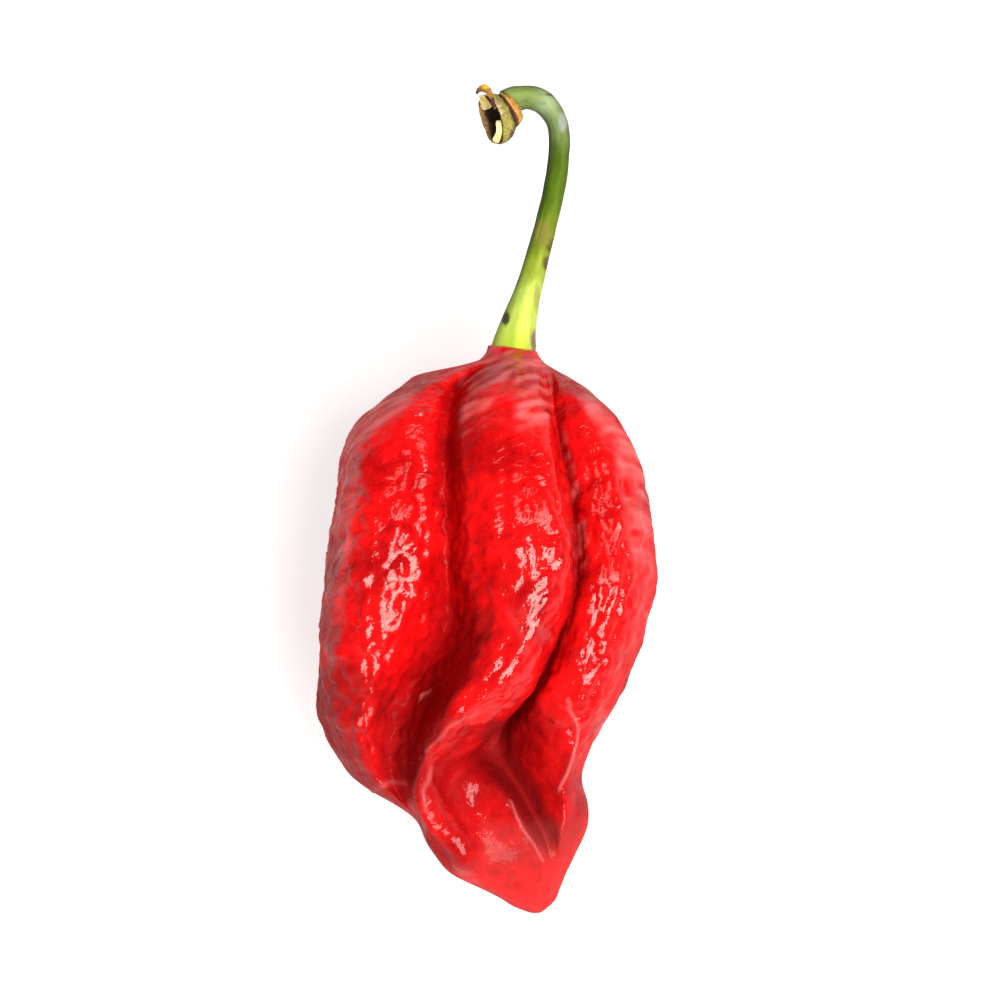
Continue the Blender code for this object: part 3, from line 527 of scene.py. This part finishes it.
stem_material, tree, shader, place = new_material("green_stalk")
along = add_math(tree, "DIVIDE", add_attribute(tree, "along"), 34.0)
streak_place = tree.nodes.new("ShaderNodeCombineXYZ")
tree.links.new(add_attribute(tree, "turn"), streak_place.inputs["X"])
tree.links.new(add_math(tree, "MULTIPLY", add_attribute(tree, "along"), 0.16), streak_place.inputs["Y"])
streaks = add_noise(tree, streak_place.outputs[0], 650.0, detail=4.0, roughness=0.6)
broad = add_noise(tree, place, 2.6, detail=3.0)
wander = add_math(tree, "MULTIPLY_ADD", broad, 0.12)
tree.links.new(along, wander.node.inputs[2])
colour = add_ramp(tree, wander, [
    (0.05, (0.52, 0.68, 0.050, 1)), (0.17, (0.56, 0.72, 0.12, 1)), (0.27, (0.50, 0.67, 0.12, 1)),
    (0.36, (0.29, 0.38, 0.033, 1)), (0.47, (0.17, 0.24, 0.012, 1)), (0.60, (0.085, 0.155, 0.004, 1)),
    (0.72, (0.075, 0.135, 0.007, 1)), (0.82, (0.17, 0.24, 0.080, 1)), (0.90, (0.31, 0.40, 0.22, 1)),
    (1.0, (0.20, 0.28, 0.08, 1)),
])
# Painted light and shade round the stalk: darkest on its left side as seen from above, lightest in a strip just right
# of its top.
painted_side_light = add_ramp(tree, add_math(tree, "MULTIPLY_ADD", add_attribute(tree, "turn"), 0.2), [
    (0.22, (0.45, 0.5, 0.4, 1)), (0.42, (0.8, 0.82, 0.8, 1)), (0.55, (1.1, 1.08, 1.0, 1)), (0.72, (0.8, 0.8, 0.8, 1)),
])
painted_side_light.node.inputs["Fac"].links[0].from_node.inputs[2].default_value = 0.5
colour = add_mix(tree, 1.0, colour, painted_side_light, "MULTIPLY")
streak_shade = add_ramp(tree, streaks, [(0.3, (0.72, 0.74, 0.6, 1)), (0.6, (1.05, 1.05, 1.05, 1))])
colour = add_mix(tree, 0.8, colour, streak_shade, "MULTIPLY")
for centre, size, stain in (
    ((1.75, 32.3), (0.42, 0.8), (0.07, 0.065, 0.03, 1)), ((5.0, 29.8), (0.55, 1.2), (0.22, 0.14, 0.09, 1)),
    ((6.35, 38.4), (0.55, 0.75), (0.10, 0.08, 0.03, 1)), ((6.6, 40.4), (0.45, 0.7), (0.08, 0.08, 0.012, 1)),
    ((5.9, 41.6), (0.9, 1.4), (0.20, 0.20, 0.03, 1)), ((5.2, 34.6), (0.35, 1.6), (0.32, 0.36, 0.07, 1)),
    ((7.1, 57.0), (0.9, 0.22), (0.10, 0.08, 0.05, 1)), ((8.0, 53.9), (0.5, 1.0), (0.30, 0.34, 0.30, 1)),
):
    spot = add_spot(tree, place, centre, size)
    colour = add_mix(tree, spot, colour, stain)
tree.links.new(colour, shader.inputs["Base Color"])
fibres = add_bump(tree, streaks, 0.10)
relief = add_bump(tree, add_noise(tree, place, 0.45, detail=3.0), 0.03, fibres)
tree.links.new(relief, shader.inputs["Normal"])
shader.inputs["Roughness"].default_value = 0.5
shader.inputs["Specular IOR Level"].default_value = 0.1
stem.data.materials.append(stem_material)
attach(stem, "root")
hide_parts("stem")


# The dried joint: where the stem broke from its branch its bark has swollen into a tan bulge, cracked in a dark
# groove and flared into a torn, hollow cup, all dry, matt and ragged. It grows straight out of the stem.
JOINT_ROWS = (
    ((2.6, 56.45, 19.0), (-0.8, -0.6, 0.1), 1.3, 0.0), ((2.62, 56.0, 19.0), (-0.76, -0.65, 0.1), 1.58, 0.06),
    ((2.5, 55.75, 19.05), (-0.76, -0.63, 0.12), 1.8, 0.13), ((2.3, 55.55, 19.1), (-0.8, -0.57, 0.15), 1.98, 0.21),
    ((2.02, 55.33, 19.15), (-0.83, -0.54, 0.2), 2.06, 0.29), ((1.86, 55.2, 19.2), (-0.85, -0.5, 0.25), 2.06, 0.36),
    ((1.7, 55.0, 19.25), (-0.86, -0.46, 0.28), 2.24, 0.43), ((1.42, 54.75, 19.35), (-0.87, -0.42, 0.3), 2.6, 0.52),
    ((1.0, 54.5, 19.5), (-0.88, -0.38, 0.34), 2.8, 0.62), ((0.55, 54.35, 19.6), (-0.88, -0.34, 0.36), 2.88, 0.7),
    ((0.1, 54.2, 19.7), (-0.88, -0.31, 0.38), 2.9, 0.76), ((0.12, 54.2, 19.72), (-0.88, -0.31, 0.38), 2.74, 0.8),
    ((0.5, 54.35, 19.62), (-0.88, -0.34, 0.36), 2.6, 0.86), ((1.0, 54.5, 19.5), (-0.88, -0.38, 0.34), 2.35, 0.92),
    ((1.35, 54.75, 19.4), (-0.87, -0.42, 0.3), 1.7, 0.97), ((1.5, 54.85, 19.35), (-0.86, -0.46, 0.28), 0.9, 1.0),
)
JOINT_AROUND = 48
RIM_FROM = 0.6
RIM_RAGGED = 0.22


def loft(name, rows):
    """A closed piece through rings: a row is its ring of points, and each end is closed with a fan."""
    around = len(rows[0])
    points = [point for row in rows for point in row]
    faces = []
    for r in range(len(rows) - 1):
        for c in range(around):
            d = (c + 1) % around
            faces.append((r * around + c, r * around + d, (r + 1) * around + d, (r + 1) * around + c))
    for r in (0, len(rows) - 1):
        points.append(sum(rows[r], Vector()) / around)
        for c in range(around):
            faces.append((r * around + c, r * around + (c + 1) % around, len(points) - 1))
    mesh = bpy.data.meshes.new(name)
    mesh.from_pydata([point * MM for point in points], [], faces)
    piece = bpy.data.objects.new(name, mesh)
    bpy.context.scene.collection.objects.link(piece)
    select_only(piece)
    bpy.ops.object.mode_set(mode="EDIT")
    bpy.ops.mesh.select_all(action="SELECT")
    bpy.ops.mesh.normals_make_consistent(inside=False)
    bpy.ops.object.mode_set(mode="OBJECT")
    return piece


rows = []
profile = []
for centre, facing, radius, share in JOINT_ROWS:
    facing = Vector(facing).normalized()
    level = facing.cross(Vector((0, 0, 1))).normalized()
    up = level.cross(facing)
    ring = []
    for step in range(JOINT_AROUND):
        turn = 2 * math.pi * step / JOINT_AROUND
        out = math.cos(turn) * level + math.sin(turn) * up
        torn = smooth_step(RIM_FROM, 0.78, share) - smooth_step(0.84, 0.95, share)
        ragged = noise.fractal(Vector((2.2 * math.cos(turn), 2.2 * math.sin(turn), 5)), 0.7, 2.0, 3)
        crinkle = 0.05 * noise.noise(Vector((5 * math.cos(turn), 5 * math.sin(turn), 9 * share)))
        ring.append(Vector(centre) + out * (radius + crinkle) + facing * RIM_RAGGED * torn * ragged)
        profile.append(share)
    rows.append(ring)
joint = loft("torn_joint", rows)
profile += [0.0, 1.0]
joint.data.attributes.new("profile", "FLOAT", "POINT").data.foreach_set("value", profile)
subdivide_smooth(joint, 2)
moves = []
for vert in joint.data.vertices:
    place = vert.co / MM
    crackle = noise.voronoi(place / 0.55)[0]
    cracks = smooth_step(0.0, 0.2, crackle[1] - crackle[0]) - 1
    moves.append(vert.normal * (0.05 * cracks + 0.07 * noise.fractal(place / 0.7, 0.6, 2.0, 3)) * MM)
for vert, move in zip(joint.data.vertices, moves):
    vert.co += move

joint_material, tree, shader, place = new_material("dried_bark")
wander = add_math(tree, "MULTIPLY_ADD", add_noise(tree, place, 0.9, detail=4.0), 0.16)
tree.links.new(add_attribute(tree, "profile"), wander.node.inputs[2])
colour = add_ramp(tree, wander, [
    (0.08, (0.50, 0.27, 0.06, 1)), (0.30, (0.68, 0.34, 0.09, 1)), (0.38, (0.12, 0.045, 0.02, 1)),
    (0.54, (0.045, 0.022, 0.012, 1)), (0.60, (0.26, 0.24, 0.055, 1)), (0.74, (0.36, 0.33, 0.09, 1)),
    (0.82, (0.62, 0.50, 0.26, 1)), (0.90, (0.40, 0.25, 0.09, 1)), (0.96, (0.06, 0.035, 0.01, 1)),
    (1.0, (0.02, 0.015, 0.006, 1)),
])
joint_shadow = add_spot(tree, place, (1.9, 52.2), (1.5, 0.9), edge=0.5)
colour = add_mix(tree, joint_shadow, colour, (0.10, 0.05, 0.06, 1))
colour = add_mix(tree, add_spot(tree, place, (1.7, 53.2), (0.6, 1.6), edge=0.3), colour, (0.33, 0.30, 0.07, 1))
mottle = add_ramp(tree, add_noise(tree, place, 0.35, detail=4.0, roughness=0.7),
                  [(0.35, (0.6, 0.55, 0.5, 1)), (0.6, (1.15, 1.12, 1.1, 1))])
colour = add_mix(tree, 1.0, colour, mottle, "MULTIPLY")
tree.links.new(colour, shader.inputs["Base Color"])
relief = add_bump(tree, add_noise(tree, place, 0.3, detail=5.0, roughness=0.65), 0.08)
tree.links.new(relief, shader.inputs["Normal"])
shader.inputs["Roughness"].default_value = 0.75
shader.inputs["Specular IOR Level"].default_value = 0.2
joint.data.materials.append(joint_material)
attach(joint, "root")
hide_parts("dry_end")


# Torn slips in the cup: a hooked flap of bark curled over its upper rim, a papery scale under it, and a pale
# splinter of pith. Each is a thin sheet torn from the wall that it still hangs on.
SLIP_THICKNESS = 0.14


def torn_slip(name, edges, rows):
    """A thin sheet between two edges, given as rows of paired points across it, from its root to its end."""
    points = []
    for near, far in edges:
        for step in range(rows):
            points.append(Vector(near).lerp(Vector(far), step / (rows - 1)) * MM)
    faces = []
    for r in range(len(edges) - 1):
        for c in range(rows - 1):
            faces.append((r * rows + c, r * rows + c + 1, (r + 1) * rows + c + 1, (r + 1) * rows + c))
    mesh = bpy.data.meshes.new(name)
    mesh.from_pydata(points, [], faces)
    slip = bpy.data.objects.new(name, mesh)
    bpy.context.scene.collection.objects.link(slip)
    select_only(slip)
    bpy.ops.object.mode_set(mode="EDIT")
    bpy.ops.mesh.select_all(action="SELECT")
    bpy.ops.mesh.normals_make_consistent(inside=False)
    bpy.ops.object.mode_set(mode="OBJECT")
    body = slip.modifiers.new("body", "SOLIDIFY")
    body.thickness = SLIP_THICKNESS * MM
    body.offset = 0
    bpy.ops.object.modifier_apply(modifier=body.name)
    subdivide_smooth(slip, 3)
    for vert in slip.data.vertices:
        place = vert.co / MM
        vert.co += vert.normal * 0.06 * noise.fractal(place / 0.5, 0.6, 2.0, 3) * MM
    return slip


def bark_colours(material_name, stops, size):
    """Dry matt bark that varies between a few colours at this size in mm."""
    material, tree, shader, place = new_material(material_name)
    colour = add_ramp(tree, add_noise(tree, place, size, detail=4.0, roughness=0.6), stops)
    tree.links.new(colour, shader.inputs["Base Color"])
    relief = add_bump(tree, add_noise(tree, place, 0.2, detail=4.0), 0.06)
    tree.links.new(relief, shader.inputs["Normal"])
    shader.inputs["Roughness"].default_value = 0.7
    shader.inputs["Specular IOR Level"].default_value = 0.2
    return material, tree, shader, place, colour


flap = torn_slip("hooked_flap", [
    ((0.75, 55.3, 22.3), (0.45, 55.1, 22.1)), ((0.55, 56.1, 22.2), (0.1, 55.9, 22.1)),
    ((0.4, 56.9, 22.0), (-0.15, 56.65, 22.0)), ((0.05, 57.55, 21.9), (-0.4, 56.95, 22.1)),
    ((-0.35, 58.0, 21.8), (-0.75, 57.1, 22.2)), ((-0.9, 57.98, 21.6), (-1.05, 57.1, 22.1)),
    ((-1.35, 57.6, 21.4), (-1.3, 57.0, 21.9)), ((-1.6, 57.1, 21.2), (-1.5, 56.85, 21.5)),
], 4)
material, tree, shader, place, colour = bark_colours("curled_bark", [
    (0.35, (0.20, 0.09, 0.03, 1)), (0.5, (0.40, 0.20, 0.04, 1)), (0.65, (0.30, 0.14, 0.05, 1))], 0.8)
colour = add_mix(tree, add_spot(tree, place, (-0.5, 58.0), (0.7, 0.5)), colour, (0.80, 0.50, 0.03, 1))
colour = add_mix(tree, add_spot(tree, place, (-1.6, 56.9), (0.35, 0.6)), colour, (0.07, 0.04, 0.06, 1))
colour = add_mix(tree, add_spot(tree, place, (0.3, 55.8), (0.5, 0.7)), colour, (0.09, 0.035, 0.03, 1))
tree.links.new(colour, shader.inputs["Base Color"])
flap.data.materials.append(material)

scale = torn_slip("papery_scale", [
    ((-1.2, 56.75, 20.9), (-0.75, 56.9, 21.0)), ((-1.15, 56.4, 20.8), (-0.2, 56.3, 21.1)),
    ((-1.05, 55.9, 20.5), (0.15, 55.85, 20.9)), ((-0.95, 55.5, 20.1), (0.3, 55.6, 20.5)),
    ((-0.7, 55.2, 19.7), (0.0, 55.45, 20.1)),
], 4)
material = bark_colours("papery_scale", [
    (0.3, (0.42, 0.33, 0.10, 1)), (0.5, (0.60, 0.48, 0.17, 1)), (0.7, (0.85, 0.75, 0.42, 1))], 0.9)[0]
scale.data.materials.append(material)

splinter = torn_slip("pith_splinter", [
    ((0.62, 54.0, 21.4), (1.28, 54.05, 21.5)), ((0.66, 53.5, 21.5), (1.3, 53.5, 21.6)),
    ((0.72, 53.0, 21.4), (1.36, 52.9, 21.5)), ((0.6, 52.5, 21.1), (1.3, 52.4, 21.2)),
    ((0.25, 52.15, 20.7), (1.12, 51.9, 20.8)), ((0.35, 51.75, 20.3), (0.95, 51.55, 20.4)),
], 4)
material = bark_colours("pale_pith", [
    (0.3, (0.72, 0.52, 0.20, 1)), (0.5, (0.93, 0.80, 0.36, 1)), (0.7, (0.98, 0.88, 0.50, 1))], 0.7)[0]
splinter.data.materials.append(material)
for slip in (flap, scale, splinter):
    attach(slip, "root")
    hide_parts("dry_end")


# The stage: a plain pale floor under the pod, soft studio light from all round, and one small soft lamp near the
# camera, which looks straight down.
FLOOR_SIZE = 6.0
bpy.ops.object.select_all(action="DESELECT")
bpy.ops.mesh.primitive_plane_add(size=FLOOR_SIZE, location=(0, 0, 0))
floor = bpy.context.active_object
floor.name = "floor"
floor_material, tree, shader, place = new_material("pale_floor")
shader.inputs["Base Color"].default_value = (0.36, 0.36, 0.36, 1)
shader.inputs["Roughness"].default_value = 0.9
shader.inputs["Emission Color"].default_value = (1, 1, 1, 1)
shader.inputs["Emission Strength"].default_value = 0.75
floor.data.materials.append(floor_material)
floor.visible_glossy = False

world = bpy.data.worlds.new("studio")
bpy.context.scene.world = world
world.use_nodes = True
tree = world.node_tree
place = tree.nodes.new("ShaderNodeTexCoord")
split = tree.nodes.new("ShaderNodeSeparateXYZ")
tree.links.new(place.outputs["Generated"], split.inputs["Vector"])
sky = add_ramp(tree, split.outputs["Z"], [(0.0, (0.62, 0.58, 0.58, 1)), (0.2, (0.3, 0.3, 0.31, 1)),
                                          (0.45, (0.08, 0.08, 0.085, 1)), (0.9, (0.05, 0.05, 0.05, 1))])
tree.links.new(sky, tree.nodes["Background"].inputs["Color"])
tree.nodes["Background"].inputs["Strength"].default_value = 1.0


def add_lamp(name, place, size, power):
    """A square soft lamp that faces the pod."""
    lamp = bpy.data.lights.new(name, "AREA")
    lamp.size = size
    lamp.energy = power
    holder = bpy.data.objects.new(name, lamp)
    bpy.context.scene.collection.objects.link(holder)
    holder.location = place
    holder.rotation_euler = (Vector((0, 0, 0.015)) - Vector(place)).to_track_quat("-Z", "Y").to_euler()
    return holder


key = add_lamp("key_lamp", (0.30, 0.02, 0.72), 0.42, 6.0)
key.data.color = (1.0, 0.95, 0.88)
low = add_lamp("low_lamp", (0.22, -0.36, 0.64), 0.42, 4.4)
low.data.color = (1.0, 0.95, 0.88)
fill = add_lamp("fill_lamp", (0.0, 0.0, 1.2), 1.8, 4.1)
fill.visible_glossy = False

CAMERA_HEIGHT = 0.616
camera_data = bpy.data.cameras.new("camera")
camera_data.sensor_width = 36.0
camera_data.lens = 36.0 * 0.6 / (1.0 / 9.0)
camera = bpy.data.objects.new("camera", camera_data)
bpy.context.scene.collection.objects.link(camera)
camera.location = (10 / 9 * MM, 110 / 9 * MM, CAMERA_HEIGHT)
bpy.context.scene.camera = camera
bpy.context.scene.view_settings.view_transform = "Standard"
